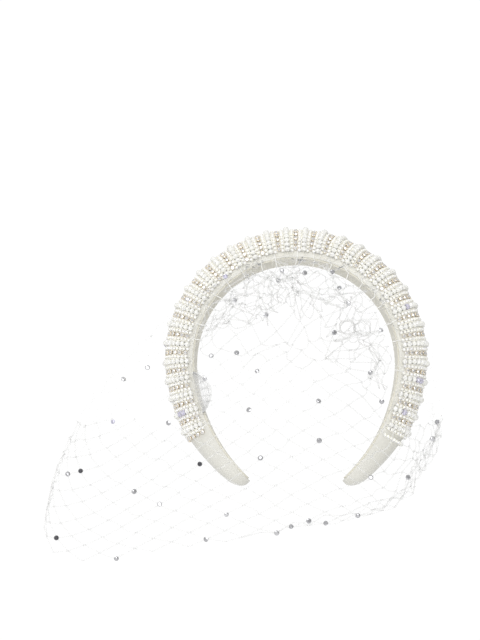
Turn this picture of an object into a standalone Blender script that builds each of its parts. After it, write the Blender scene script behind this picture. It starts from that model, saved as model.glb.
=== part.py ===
"""Padded bridal headband with crosswise bead rows and a birdcage veil.

A curved plastic strip carries a foam pad inside a satin cover, with a satin lining against
the head. Gold cup-chain rows and strands of pearls and crystals wrap across the pad, and an
open diamond net is sewn along the front edge and gathered at both arms. The real band is one
piece and springs open; here its two halves meet at the crown, where they turn on an axis.

Frame: metres, +X to the wearer's left arm of the band, -Y towards the face, +Z up. The origin
is on the lining at the crown, in the middle of the band's width.
"""
import math

import bmesh
import bpy
from mathutils import Vector

# Band: the lining's face follows a crown arc and then a flatter arm arc on each side.
CROWN_RADIUS = 0.066
CROWN_ANGLE = math.radians(95.5)
ARM_RADIUS = 0.109
ARM_ANGLE = math.radians(43)
CROWN_RUN = CROWN_RADIUS * CROWN_ANGLE
BAND_RUN = CROWN_RUN + ARM_RADIUS * ARM_ANGLE
SPLIT_GAP = 0.00016
STATION_STEP = 0.0083

# Section: a dome over a flat base, (distance from the crown, size) along one half.
WIDTHS = ((0.0, 0.033), (0.097, 0.033), (0.152, 0.029), (0.164, 0.025), (0.1918, 0.017))
HEIGHTS = ((0.0, 0.0196), (0.097, 0.0184), (0.152, 0.0160), (0.170, 0.0130), (0.1918, 0.0096))
END_ROUND = 0.009
END_SCALE = 0.45
END_SHARES = (0.0, 0.45, 0.78, 1.0)
CORE_END, FOAM_END, LINING_END, COVER_END = 1, 2, 3, 4
DOME_POWER = 2 / 2.4
DOME_ANGLES = (0.0, 6.5, 29.0, 57.0, 90.0, 123.0, 151.0, 173.5, 180.0)

# Layers, counted outward from the lining's face.
LINING_THICK = 0.0008
BASE = 0.0011
COVER_THICK = 0.0007
CORE_THICK = 0.0016
CLEAR = 0.0003
LINING_SHARE = 0.44
FLANGE_SHARE = 0.12
CORE_SHARE = 0.30

# Rows: nominal places and widths are measured along the lining's face.
ROW_PITCH = 0.0100
FIRST_GOLD = 0.0004
GOLD_ROWS_LEFT = 15
GOLD_ROWS_RIGHT = 15
GOLD_WIDTH = 0.00216
PEARL_WIDTH = 0.00168
CRYSTAL_WIDTH = 0.00304
PEARL_OFFSETS = (0.00228, 0.00772)
CRYSTAL_OFFSET = 0.0050
GOLD_HEIGHT = 0.0027
PEARL_HEIGHT = 0.0022
CRYSTAL_HEIGHT = 0.0036
THREAD_HEIGHT = 0.0006
ROW_CLEAR = 0.00035
GROUPS_PER_STRAND = 5
STRANDS_PER_SIDE = 3
ROW_ANGLES = DOME_ANGLES[1:-1]
THREAD_ANGLES = (1.6, 3.5)
LEAN_SLOPE = math.tan(math.radians(10))
LEAN_PEAK = 0.026
LEAN_END = 0.105

# Veil: a sheet from the band's front edge, forward and down to a hem.
VEIL_REACH = 0.126
VEIL_THICK = 0.0012
VEIL_EDGE_Y = -0.0176
VEIL_EDGE_RISE = 0.0004
VEIL_START = 0.02
VEIL_COLUMNS = 13
VEIL_ROWS = 9
HEM = ((-0.062, -0.0235, -0.0880), (-0.086, -0.0280, -0.0960), (-0.124, -0.0220, -0.1160),
       (-0.157, -0.0260, -0.1560), (-0.141, -0.0520, -0.1890), (-0.068, -0.0680, -0.1840),
       (0.011, -0.0720, -0.1725), (0.044, -0.0640, -0.1675), (0.067, -0.0480, -0.1560),
       (0.081, -0.0340, -0.1355), (0.089, -0.0280, -0.1165), (0.084, -0.0270, -0.0990),
       (0.068, -0.0235, -0.0900))
VEIL_PUFF = (0.022, 0.012)
VEIL_FORWARD = 0.045
VEIL_FORWARD_ENDS = 0.018
VEIL_RISE = 0.062
VEIL_RISE_ENDS = 0.020

# Gather tacks: the bound ends of the net's short sides.
TACK_PLACE = 0.133
TACK_LENGTH = 0.009
TACK_DEPTH = 0.0016
TACK_RISE = 0.0018


def clear_scene():
    for thing in list(bpy.data.objects):
        bpy.data.objects.remove(thing, do_unlink=True)


def material(name, color, roughness, metallic=0.0):
    made = bpy.data.materials.new(name)
    made.use_nodes = True
    shader = made.node_tree.nodes["Principled BSDF"]
    shader.inputs["Base Color"].default_value = (*color, 1.0)
    shader.inputs["Roughness"].default_value = roughness
    shader.inputs["Metallic"].default_value = metallic
    made.diffuse_color = (*color, 1.0)
    return made


def station(s):
    """Point (x, z) on the lining's face and its outward normal; s is negative on the left."""
    side = -1.0 if s < 0 else 1.0
    run = abs(s)
    if run <= CROWN_RUN:
        angle = run / CROWN_RADIUS
        x = CROWN_RADIUS * math.sin(angle)
        z = CROWN_RADIUS * (math.cos(angle) - 1.0)
    else:
        angle = CROWN_ANGLE + (run - CROWN_RUN) / ARM_RADIUS
        shift = CROWN_RADIUS - ARM_RADIUS
        x = shift * math.sin(CROWN_ANGLE) + ARM_RADIUS * math.sin(angle)
        z = shift * math.cos(CROWN_ANGLE) + ARM_RADIUS * math.cos(angle) - CROWN_RADIUS
    return side * x, z, side * math.sin(angle), math.cos(angle)


def place(s, y, n):
    """World point at arc length s, fore-aft place y and height n above the lining's face."""
    x, z, normal_x, normal_z = station(s)
    return Vector((x + n * normal_x, y, z + n * normal_z))


def along(knots, run):
    """Value at run, in straight steps between the knots."""
    for (run_a, value_a), (run_b, value_b) in zip(knots, knots[1:]):
        if run <= run_b:
            share = (run - run_a) / (run_b - run_a)
            return value_a + share * (value_b - value_a)
    return knots[-1][1]


def end_scale(run):
    """1 along the band, falling on a quarter ellipse to END_SCALE at the arm's end."""
    past = max(0.0, (run - (BAND_RUN - END_ROUND)) / END_ROUND)
    return END_SCALE + (1.0 - END_SCALE) * math.sqrt(max(0.0, 1.0 - past * past))


def width(s):
    return along(WIDTHS, abs(s)) * end_scale(abs(s))


def height(s):
    return along(HEIGHTS, abs(s)) * (0.5 + 0.5 * end_scale(abs(s)))


def dome(s, degrees, offset):
    """(y, n) on the cover's section, grown outward by offset; 0 degrees is the front edge."""
    turn = math.radians(degrees)
    across = math.copysign(abs(math.cos(turn)) ** DOME_POWER, math.cos(turn))
    up = abs(math.sin(turn)) ** DOME_POWER
    y = -(width(s) / 2 + offset) * across
    n = BASE + (height(s) - BASE + offset) * up
    return y, n


def stations(end):
    """Places of the sections from the crown; end counts how many of END_SHARES are used."""
    straight = BAND_RUN - END_ROUND
    count = round(straight / STATION_STEP)
    runs = [SPLIT_GAP + (straight - SPLIT_GAP) * i / count for i in range(count)]
    return runs + [straight + END_ROUND * share for share in END_SHARES[:end]]


def finish(name, mesh_data, look):
    """Object from a bmesh whose faces are turned outward."""
    bmesh.ops.recalc_face_normals(mesh_data, faces=mesh_data.faces)
    if mesh_data.calc_volume(signed=True) < 0:
        bmesh.ops.reverse_faces(mesh_data, faces=mesh_data.faces)
    mesh = bpy.data.meshes.new(name)
    mesh_data.to_mesh(mesh)
    mesh_data.free()
    mesh.shade_smooth()
    mesh.set_sharp_from_angle(angle=math.radians(40))
    mesh.materials.append(look)
    made = bpy.data.objects.new(name, mesh)
    bpy.context.scene.collection.objects.link(made)
    return made


def loft(name, rings, look):
    """Closed solid through rings with the same number of points, capped at both ends."""
    mesh_data = bmesh.new()
    rows = [[mesh_data.verts.new(point) for point in ring] for ring in rings]
    size = len(rows[0])
    for row_a, row_b in zip(rows, rows[1:]):
        for i in range(size):
            j = (i + 1) % size
            mesh_data.faces.new((row_a[i], row_a[j], row_b[j], row_b[i]))
    mesh_data.faces.new(rows[0])
    mesh_data.faces.new(rows[-1])
    return finish(name, mesh_data, look)


def strip(name, side, end, half_share, low, high, look):
    """Flat strip along one half of the band between two heights."""
    rings = []
    for run in stations(end):
        s = side * run
        half = half_share * width(s)
        corners = ((-half, low), (half, low), (half, high), (-half, high))
        rings.append([place(s, y, n) for y, n in corners])
    return loft(name, rings, look)


def raised(point, following, lowest):
    """A point of a section moved along its edge until it is at least at height lowest."""
    (y_a, n_a), (y_b, n_b) = point, following
    share = max(0.0, (lowest - n_a) / (n_b - n_a))
    return y_a + share * (y_b - y_a), n_a + share * (n_b - n_a)


def foam_pad(name, side, look):
    """Pad that fills the cover above the core strip."""
    rings = []
    floor = BASE + CORE_THICK + CLEAR
    for run in stations(FOAM_END):
        s = side * run
        outline = [dome(s, degrees, -COVER_THICK - CLEAR) for degrees in DOME_ANGLES[1:-1]]
        outline[0] = raised(outline[0], outline[1], floor + CLEAR)
        outline[-1] = raised(outline[-1], outline[-2], floor + CLEAR)
        half = min(width(s) * (0.5 - FLANGE_SHARE), -outline[0][0] - CLEAR)
        outline += [(half, floor), (-half, floor)]
        rings.append([place(s, y, n) for y, n in outline])
    return loft(name, rings, look)


def cover_shell(name, side, look):
    """Satin shell: a dome with flanges turned in under the pad."""
    rings = []
    for run in stations(COVER_END):
        s = side * run
        flange = FLANGE_SHARE * width(s)
        outer = [dome(s, degrees, 0.0) for degrees in DOME_ANGLES]
        inner = [dome(s, degrees, -COVER_THICK) for degrees in DOME_ANGLES]
        top = BASE + COVER_THICK
        inner = [(y, max(n, top)) for y, n in inner]
        front = outer[0][0] + flange
        back = outer[-1][0] - flange
        outline = [(front, BASE)] + outer + [(back, BASE), (back, top)]
        outline += inner[::-1] + [(front, top)]
        rings.append([place(s, y, n) for y, n in outline])
    return loft(name, rings, look)


def lean(q):
    """Slope of a row nominally at q: rows on the right shoulder slant towards the crown."""
    if q <= 0 or q >= LEAN_END:
        return 0.0
    rise = min(1.0, q / LEAN_PEAK)
    fall = min(1.0, (LEAN_END - q) / (LEAN_END - LEAN_PEAK))
    return LEAN_SLOPE * rise * rise * (3 - 2 * rise) * fall * fall * (3 - 2 * fall)


def on_cover(q, degrees, offset):
    """World point above the cover at nominal arc length q."""
    s = q + dome(q, degrees, 0.0)[0] * lean(q)
    y, n = dome(s, degrees, offset)
    return place(s, y, n)


def gold_row(name, q, look):
    """One cup-chain row across the pad."""
    rings = []
    for degrees in ROW_ANGLES:
        low, high = ROW_CLEAR, ROW_CLEAR + GOLD_HEIGHT
        left, right = q - GOLD_WIDTH / 2, q + GOLD_WIDTH / 2
        rings.append([on_cover(left, degrees, low), on_cover(right, degrees, low),
                      on_cover(right, degrees, high), on_cover(left, degrees, high)])
    return loft(name, rings, look)


def row_levels(bead_height):
    """(angle, height) along a strung row: beads over the dome, bare thread at both edges."""
    first, second = THREAD_ANGLES
    levels = [(first, THREAD_HEIGHT), (second, THREAD_HEIGHT)]
    levels += [(degrees, bead_height) for degrees in ROW_ANGLES]
    levels += [(180 - second, THREAD_HEIGHT), (180 - first, THREAD_HEIGHT)]
    return levels


def strand(name, rows, look):
    """Rows of beads strung to and fro; each turn is a thread along the band's edge."""
    mesh_data = bmesh.new()
    corners = []
    for q, row_width, bead_height in rows:
        column = []
        for degrees, rise in row_levels(bead_height):
            for edge in (q - row_width / 2, q + row_width / 2):
                column.append([mesh_data.verts.new(on_cover(edge, degrees, ROW_CLEAR)),
                               mesh_data.verts.new(on_cover(edge, degrees, ROW_CLEAR + rise))])
        corners.append(column)
    last = len(row_levels(0.0)) - 2
    for index, column in enumerate(corners):
        left_end = None if index == 0 else (last if index % 2 else 0)
        right_end = None if index == len(corners) - 1 else (0 if index % 2 else last)
        for cell in range(last + 1):
            left_a, right_a = column[2 * cell], column[2 * cell + 1]
            left_b, right_b = column[2 * cell + 2], column[2 * cell + 3]
            mesh_data.faces.new((left_a[1], right_a[1], right_b[1], left_b[1]))
            mesh_data.faces.new((left_a[0], left_b[0], right_b[0], right_a[0]))
            if cell != left_end:
                mesh_data.faces.new((left_a[0], left_a[1], left_b[1], left_b[0]))
            if cell != right_end:
                mesh_data.faces.new((right_a[0], right_b[0], right_b[1], right_a[1]))
        for left, right in (column[:2], column[-2:]):
            mesh_data.faces.new((left[0], right[0], right[1], left[1]))
        if right_end is not None:
            link(mesh_data, column, corners[index + 1], right_end)
    return finish(name, mesh_data, look)


def link(mesh_data, column, following, cell):
    """Thread between two neighbouring rows, beside one end cell of each."""
    near_a, near_b = column[2 * cell + 1], column[2 * cell + 3]
    far_a, far_b = following[2 * cell], following[2 * cell + 2]
    mesh_data.faces.new((near_a[1], far_a[1], far_b[1], near_b[1]))
    mesh_data.faces.new((near_a[0], near_b[0], far_b[0], far_a[0]))
    mesh_data.faces.new((near_a[0], far_a[0], far_a[1], near_a[1]))
    mesh_data.faces.new((near_b[0], near_b[1], far_b[1], far_b[0]))


def bead_rows(gold_index):
    """The pearl, crystal and pearl rows that follow one gold row."""
    start = FIRST_GOLD + ROW_PITCH * gold_index
    return [(start + PEARL_OFFSETS[0], PEARL_WIDTH, PEARL_HEIGHT),
            (start + CRYSTAL_OFFSET, CRYSTAL_WIDTH, CRYSTAL_HEIGHT),
            (start + PEARL_OFFSETS[1], PEARL_WIDTH, PEARL_HEIGHT)]


def hem_point(u):
    """Point on the hem, on a smooth curve through the HEM points; u runs from 0 to 1."""
    spans = len(HEM) - 1
    first = min(int(u * spans), spans - 1)
    t = u * spans - first
    picks = [max(0, min(spans, first + i)) for i in (-1, 0, 1, 2)]
    a, b, c, d = (Vector(HEM[i]) for i in picks)
    return b + 0.5 * t * (c - a + t * (2 * a - 5 * b + 4 * c - d + t * (3 * (b - c) + d - a)))


def veil_point(u, v):
    """Point on the veil; v is 0 on the sewn edge and 1 on the hem."""
    s = VEIL_REACH * (2 * u - 1)
    start = place(s, VEIL_EDGE_Y, VEIL_EDGE_RISE)
    hem = hem_point(u)
    middle = math.sin(math.pi * u)
    puff = VEIL_PUFF[0] + u * (VEIL_PUFF[1] - VEIL_PUFF[0])
    forward = VEIL_FORWARD_ENDS + middle * (VEIL_FORWARD - VEIL_FORWARD_ENDS)
    rise = VEIL_RISE_ENDS + middle * (VEIL_RISE - VEIL_RISE_ENDS)
    outward = place(s, 0.0, puff) - place(s, 0.0, 0.0)
    near = start + outward * math.sin(math.pi * abs(u - 0.5)) + Vector((0.0, -forward, 0.0))
    far = hem + Vector((0.0, -forward / 3, rise))
    w = 1.0 - v
    return start * w ** 3 + near * 3 * w * w * v + far * 3 * w * v * v + hem * v ** 3


def veil_normal(u, v):
    step = 0.002
    du = veil_point(min(1.0, u + step), v) - veil_point(max(0.0, u - step), v)
    dv = veil_point(u, min(1.0, v + step)) - veil_point(u, max(0.0, v - step))
    return du.cross(dv).normalized()


def veil_sheet(name, side, look):
    """Closed thin shell of one half of the veil."""
    mesh_data = bmesh.new()
    layers = []
    for offset in (-VEIL_THICK / 2, VEIL_THICK / 2):
        grid = []
        for i in range(VEIL_COLUMNS):
            share = i / (VEIL_COLUMNS - 1)
            u = VEIL_START + share * (0.5 - VEIL_START)
            u = u if side < 0 else 1.0 - u
            column = []
            for j in range(VEIL_ROWS):
                v = j / (VEIL_ROWS - 1)
                point = veil_point(u, v) + veil_normal(u, v) * offset
                point.x = side * max(SPLIT_GAP, side * point.x)
                column.append(mesh_data.verts.new(point))
            grid.append(column)
        layers.append(grid)
    for grid in layers:
        for column_a, column_b in zip(grid, grid[1:]):
            for j in range(VEIL_ROWS - 1):
                mesh_data.faces.new((column_a[j], column_b[j], column_b[j + 1], column_a[j + 1]))
    low, high = ([*grid[0], *[column[-1] for column in grid[1:]],
                  *grid[-1][-2::-1], *[column[0] for column in grid[-2:0:-1]]] for grid in layers)
    for i in range(len(low)):
        j = (i + 1) % len(low)
        mesh_data.faces.new((low[i], low[j], high[j], high[i]))
    return finish(name, mesh_data, look)


def gather_tack(name, side, look):
    """Wrapped knot of thread that holds one bunched end of the net."""
    mesh_data = bmesh.new()
    bmesh.ops.create_uvsphere(mesh_data, u_segments=10, v_segments=6, radius=0.5)
    centre = place(side * TACK_PLACE, VEIL_EDGE_Y - TACK_DEPTH / 4, VEIL_EDGE_RISE)
    ahead = place(side * (TACK_PLACE + TACK_LENGTH / 2), 0.0, 0.0)
    back = place(side * (TACK_PLACE - TACK_LENGTH / 2), 0.0, 0.0)
    run = (ahead - back).normalized()
    rise = Vector((0.0, 1.0, 0.0)).cross(run)
    for vert in mesh_data.verts:
        x, y, z = vert.co
        vert.co = centre + run * (z * TACK_LENGTH) + rise * (x * TACK_RISE)
        vert.co.y += y * TACK_DEPTH
    return finish(name, mesh_data, look)


def build():
    clear_scene()
    plastic = material("core_plastic", (0.80, 0.79, 0.75), 0.45)
    foam = material("pad_foam", (0.86, 0.84, 0.76), 0.95)
    satin = material("ivory_satin", (0.80, 0.78, 0.71), 0.42)
    lining = material("lining_satin", (0.68, 0.65, 0.55), 0.55)
    gold = material("gold_cup_chain", (0.83, 0.62, 0.30), 0.25, 1.0)
    beads = material("pearl_and_crystal", (0.86, 0.83, 0.76), 0.22)
    net = material("veil_net", (0.90, 0.90, 0.89), 0.70)
    thread = material("sewing_thread", (0.88, 0.87, 0.83), 0.75)

    for label, side in (("left", -1), ("right", 1)):
        strip("core_strip_" + label, side, CORE_END, CORE_SHARE,
              BASE, BASE + CORE_THICK, plastic)
        strip("satin_lining_" + label, side, LINING_END, LINING_SHARE,
              0.0, LINING_THICK, lining)
        foam_pad("foam_pad_" + label, side, foam)
        cover_shell("satin_cover_" + label, side, satin)
        veil_sheet("veil_net_" + label, side, net)
        gather_tack("gather_tack_" + label, side, thread)

    for number in range(GOLD_ROWS_LEFT + GOLD_ROWS_RIGHT):
        index = number - GOLD_ROWS_LEFT + 1
        gold_row(f"gold_chain_row_{number + 1:02d}", FIRST_GOLD + ROW_PITCH * index, gold)

    for label, first in (("left", -GOLD_ROWS_LEFT), ("right", 0)):
        for part_number in range(STRANDS_PER_SIDE):
            start = first + GROUPS_PER_STRAND * part_number
            rows = []
            for index in range(start, start + GROUPS_PER_STRAND):
                rows += bead_rows(index)
            if start + GROUPS_PER_STRAND == GOLD_ROWS_RIGHT:
                rows += bead_rows(GOLD_ROWS_RIGHT)[:1]
            strand(f"bead_strand_{label}_{part_number + 1}", rows, beads)


build()
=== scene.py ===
import math
import random

import bmesh
import bpy
import numpy as np
from mathutils import Matrix, Vector, noise


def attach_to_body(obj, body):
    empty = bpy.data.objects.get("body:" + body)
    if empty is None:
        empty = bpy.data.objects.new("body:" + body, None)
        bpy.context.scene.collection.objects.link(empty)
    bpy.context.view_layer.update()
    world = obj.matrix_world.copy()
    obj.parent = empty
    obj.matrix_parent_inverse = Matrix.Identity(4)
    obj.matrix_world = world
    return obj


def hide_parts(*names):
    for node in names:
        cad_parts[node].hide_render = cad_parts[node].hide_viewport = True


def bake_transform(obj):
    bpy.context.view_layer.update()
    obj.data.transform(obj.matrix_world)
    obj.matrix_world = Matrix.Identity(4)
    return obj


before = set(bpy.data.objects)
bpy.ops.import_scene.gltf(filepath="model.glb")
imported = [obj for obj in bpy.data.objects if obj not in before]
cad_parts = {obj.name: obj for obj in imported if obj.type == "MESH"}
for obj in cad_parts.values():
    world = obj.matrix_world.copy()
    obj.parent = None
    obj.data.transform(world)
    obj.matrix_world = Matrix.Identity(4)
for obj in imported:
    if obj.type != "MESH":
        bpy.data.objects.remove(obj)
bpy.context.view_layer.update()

# The padded headband's looks: satin, lining, bead rows, cup chain and the diamond net.
# Lengths are metres in the CAD frame; s is the arc length along the lining's face from the
# crown, negative on the left, n the height above that face and y the fore-aft place.

noise.seed_set(1)  # noise_vector is otherwise seeded by the time
LEFT, RIGHT = "left_half", "right_half"

# Band, as in the CAD.
CROWN_RADIUS = 0.066
CROWN_ANGLE = math.radians(95.5)
ARM_RADIUS = 0.109
ARM_ANGLE = math.radians(43)
CROWN_RUN = CROWN_RADIUS * CROWN_ANGLE
BAND_RUN = CROWN_RUN + ARM_RADIUS * ARM_ANGLE
WIDEST = CROWN_RADIUS * math.pi / 2
WIDTHS = ((0.0, 0.033), (0.097, 0.033), (0.152, 0.029), (0.164, 0.025), (0.1918, 0.017))
HEIGHTS = ((0.0, 0.0196), (0.097, 0.0184), (0.152, 0.0160), (0.170, 0.0130), (0.1918, 0.0096))
END_ROUND = 0.010
DOME_POWER = 2 / 2.4
BASE = 0.0011
COVER_THICK = 0.0007
CLEAR = 0.0003
LINING_THICK = 0.00106
LINING_SHARE = 0.475
LINING_FACE = 0.00005
LINING_EDGE = 0.00012
FLANGE_SHARE = 0.12
CORE_THICK = 0.0016
CORE_SHARE = 0.30

# Rows, as in the CAD.
ROW_PITCH = 0.0100
FIRST_GOLD = 0.0004
GOLD_ROWS = 30
GOLD_ROWS_LEFT = 15
PEARL_OFFSETS = (0.00228, 0.00772)
CRYSTAL_OFFSET = 0.0050
GROUPS_PER_STRAND = 5
STRANDS_PER_SIDE = 3
LEAN_SLOPE = math.tan(math.radians(10))
LEAN_PEAK = 0.026
LEAN_END = 0.105

# Beads and chain.
PEARL = 0.00235
CRYSTAL = 0.0038
CRYSTAL_LONG = 0.0031
CUP_PITCH = 0.0036
CUP = 0.0029
THREAD = 0.00040
CORD = 0.0009
# Cords in the grooves between bead rows: (offset from the gold row, height above the cover).
CORD_OFFSETS = ((0.0013, 0.0006), (0.0033, 0.0013), (0.0067, 0.0013), (0.0087, 0.0006))

# Net: knots on a diamond lattice over the CAD's veil surface.
VEIL_REACH = 0.126
VEIL_EDGE_Y = -0.0176
VEIL_EDGE_RISE = 0.0004
HEM = ((-0.062, -0.0235, -0.0880), (-0.086, -0.0280, -0.0960), (-0.124, -0.0220, -0.1160),
       (-0.157, -0.0260, -0.1560), (-0.147, -0.0520, -0.1925), (-0.068, -0.0680, -0.1850),
       (0.011, -0.0720, -0.1725), (0.044, -0.0640, -0.1675), (0.067, -0.0480, -0.1560),
       (0.081, -0.0340, -0.1355), (0.089, -0.0280, -0.1165), (0.084, -0.0270, -0.0990),
       (0.068, -0.0235, -0.0900))
VEIL_PUFF = (0.022, 0.012)
VEIL_FORWARD = 0.045
VEIL_FORWARD_ENDS = 0.018
VEIL_RISE = 0.062
VEIL_RISE_ENDS = 0.020
NET_WIDTH = 0.230
NET_LENGTH = 0.478
CELL_ACROSS = 0.0184
CELL_DOWN = 0.0111
NET_THREAD = 0.00092
KNOT = 0.0014
STONE_SIZE = 0.0033


def station(s):
    side = -1.0 if s < 0 else 1.0
    run = abs(s)
    if run <= CROWN_RUN:
        angle = run / CROWN_RADIUS
        x = CROWN_RADIUS * math.sin(angle)
        z = CROWN_RADIUS * (math.cos(angle) - 1.0)
    else:
        angle = CROWN_ANGLE + (run - CROWN_RUN) / ARM_RADIUS
        shift = CROWN_RADIUS - ARM_RADIUS
        x = shift * math.sin(CROWN_ANGLE) + ARM_RADIUS * math.sin(angle)
        z = shift * math.cos(CROWN_ANGLE) + ARM_RADIUS * math.cos(angle) - CROWN_RADIUS
    return side * x, z, side * math.sin(angle), math.cos(angle)


def place(s, y, n):
    x, z, normal_x, normal_z = station(s)
    return Vector((x + n * normal_x, y, z + n * normal_z))


def along(knots, run):
    for (run_a, value_a), (run_b, value_b) in zip(knots, knots[1:]):
        if run <= run_b:
            share = (run - run_a) / (run_b - run_a)
            return value_a + share * (value_b - value_a)
    return knots[-1][1]


def end_scale(run):
    past = max(0.0, (run - (BAND_RUN - END_ROUND)) / END_ROUND)
    return math.sqrt(max(0.0, 1.0 - past * past))


def width(s):
    return along(WIDTHS, abs(s)) * (0.06 + 0.94 * end_scale(abs(s)))


def height(s):
    return BASE + (along(HEIGHTS, abs(s)) - BASE) * (0.25 + 0.75 * end_scale(abs(s)))


def dome(s, degrees, offset):
    turn = math.radians(degrees)
    across = math.copysign(abs(math.cos(turn)) ** DOME_POWER, math.cos(turn))
    up = abs(math.sin(turn)) ** DOME_POWER
    half = max(0.0002, width(s) / 2 + offset)
    tall = max(0.0001, height(s) - BASE + offset)
    return -half * across, BASE + tall * up


def lean(q):
    if q <= 0 or q >= LEAN_END:
        return 0.0
    rise = min(1.0, q / LEAN_PEAK)
    fall = min(1.0, (LEAN_END - q) / (LEAN_END - LEAN_PEAK))
    return LEAN_SLOPE * rise * rise * (3 - 2 * rise) * fall * fall * (3 - 2 * fall)


def on_cover(q, degrees, offset):
    s = q + dome(q, degrees, 0.0)[0] * lean(q)
    y, n = dome(s, degrees, offset)
    return place(s, y, n)


# ---------------------------------------------------------------- meshes

def linked(name, data):
    made = bpy.data.objects.new(name, data)
    bpy.context.scene.collection.objects.link(made)
    return made


class Heap:
    """Points and faces of many small shapes that become one object."""

    def __init__(self):
        self.points = []
        self.faces = []
        self.count = 0

    def add(self, points, faces, look=0, smooth=True):
        points = np.asarray(points, float).reshape(-1, 3)
        for group in faces:
            self.faces.append((np.asarray(group, int) + self.count, look, smooth))
        self.points.append(points)
        self.count += len(points)

    def stamp(self, shape, frames, look=0, smooth=True):
        """Copies of shape, one for each (3 axis columns, origin) pair."""
        points, groups = shape
        axes = np.array([f[0] for f in frames], float)
        origins = np.array([f[1] for f in frames], float)
        placed = np.einsum("kij,nj->kni", axes, points) + origins[:, None, :]
        steps = (np.arange(len(frames)) * len(points))[:, None, None]
        faces = [(np.asarray(g, int)[None] + steps).reshape(-1, len(g[0])) for g in groups]
        self.add(placed, faces, look, smooth)

    def object(self, name, looks):
        mesh = bpy.data.meshes.new(name)
        points = np.concatenate(self.points)
        corners = np.concatenate([f.ravel() for f, _, _ in self.faces])
        sizes = np.concatenate([np.full(len(f), f.shape[1]) for f, _, _ in self.faces])
        mats = np.concatenate([np.full(len(f), look) for f, look, _ in self.faces])
        smooth = np.concatenate([np.full(len(f), flag) for f, _, flag in self.faces])
        mesh.vertices.add(len(points))
        mesh.vertices.foreach_set("co", points.astype(np.float32).ravel())
        mesh.loops.add(len(corners))
        mesh.loops.foreach_set("vertex_index", corners.astype(np.int32))
        mesh.polygons.add(len(sizes))
        starts = np.concatenate([[0], np.cumsum(sizes)[:-1]])
        mesh.polygons.foreach_set("loop_start", starts.astype(np.int32))
        mesh.polygons.foreach_set("material_index", mats.astype(np.int32))
        mesh.polygons.foreach_set("use_smooth", smooth)
        mesh.update(calc_edges=True)
        mesh.validate()
        for look in looks:
            mesh.materials.append(look)
        return linked(name, mesh)


def ball(detail):
    """Unit-diameter sphere of triangles."""
    made = bmesh.new()
    bmesh.ops.create_icosphere(made, subdivisions=detail, radius=0.5)
    points = np.array([v.co[:] for v in made.verts])
    faces = [[v.index for v in f.verts] for f in made.faces]
    made.free()
    return points, [faces]


def turned(profile, sides, twist=0.0, cap=True):
    """Surface of revolution about local X from (x, radius) pairs, faceted by twist."""
    points = []
    for level, (x, radius) in enumerate(profile):
        for i in range(sides):
            turn = 2 * math.pi * (i + twist * level) / sides
            points.append((x, radius * math.cos(turn), radius * math.sin(turn)))
    quads = []
    for level in range(len(profile) - 1):
        for i in range(sides):
            a, b = level * sides + i, level * sides + (i + 1) % sides
            quads.append((a, b, b + sides, a + sides))
    groups = []
    if twist:
        groups.append([t for q in quads for t in ((q[0], q[1], q[3]), (q[1], q[2], q[3]))])
    else:
        groups.append(quads)
    if cap:
        top = [(len(profile) - 1) * sides + i for i in range(sides)]
        groups.append([list(range(sides))[::-1], top])
    return np.array(points), groups


def tube(points, radius, sides=6, closed=False):
    """Tube of quads round a line of points; the radius may be a list."""
    line = np.array([tuple(p) for p in points], float)
    count = len(line)
    step = np.gradient(line, axis=0)
    if closed:
        step = np.roll(line, -1, axis=0) - np.roll(line, 1, axis=0)
    step /= np.linalg.norm(step, axis=1)[:, None] + 1e-12
    guide = np.array((0.31, 0.87, 0.38))
    side = np.cross(step, guide)
    side /= np.linalg.norm(side, axis=1)[:, None] + 1e-12
    up = np.cross(step, side)
    radii = np.broadcast_to(np.asarray(radius, float), (count,))
    turn = 2 * math.pi * np.arange(sides) / sides
    ring = (side[:, None, :] * np.cos(turn)[None, :, None]
            + up[:, None, :] * np.sin(turn)[None, :, None])
    placed = (line[:, None, :] + ring * radii[:, None, None]).reshape(-1, 3)
    rows = count if closed else count - 1
    base = np.arange(rows)[:, None] * sides
    ahead = (np.arange(rows)[:, None] + 1) % count * sides
    i = np.arange(sides)[None, :]
    j = (i + 1) % sides
    quads = np.stack([base + i, ahead + i, ahead + j, base + j], axis=-1).reshape(-1, 4)
    groups = [quads]
    if not closed:
        first = list(range(sides))
        last = [(count - 1) * sides + k for k in range(sides)][::-1]
        groups.append([first, last])
    return placed, groups


def axes_of(a, b, c):
    """3 by 3 matrix whose columns are a, b and c."""
    return np.array([tuple(a), tuple(b), tuple(c)]).T


def loft_object(name, rings, look, cap=True):
    """Object through closed rings of equal length."""
    size = len(rings[0])
    points = [tuple(p) for ring in rings for p in ring]
    faces = []
    for row in range(len(rings) - 1):
        for i in range(size):
            j = (i + 1) % size
            a, b = row * size, (row + 1) * size
            faces.append((a + i, a + j, b + j, b + i))
    if cap:
        faces.append(tuple(range(size))[::-1])
        faces.append(tuple((len(rings) - 1) * size + i for i in range(size)))
    mesh = bpy.data.meshes.new(name)
    mesh.from_pydata(points, [], faces)
    made = bmesh.new()
    made.from_mesh(mesh)
    bmesh.ops.recalc_face_normals(made, faces=made.faces)
    made.to_mesh(mesh)
    made.free()
    mesh.shade_smooth()
    mesh.set_sharp_from_angle(angle=math.radians(50))
    mesh.materials.append(look)
    return linked(name, mesh)


def shake(rng):
    """Vector whose three parts are drawn evenly from -1 to 1."""
    return Vector([rng.uniform(-1, 1) for _ in range(3)])


def attach(piece, zone, nodes=()):
    """Rides piece on its half, or bakes its transform and leaves it unparented over the crown."""
    if zone == "crown":
        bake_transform(piece)
    else:
        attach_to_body(piece, LEFT if zone == "left" else RIGHT)
    if nodes:
        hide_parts(*nodes)
    return piece


# ---------------------------------------------------------------- materials

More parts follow.
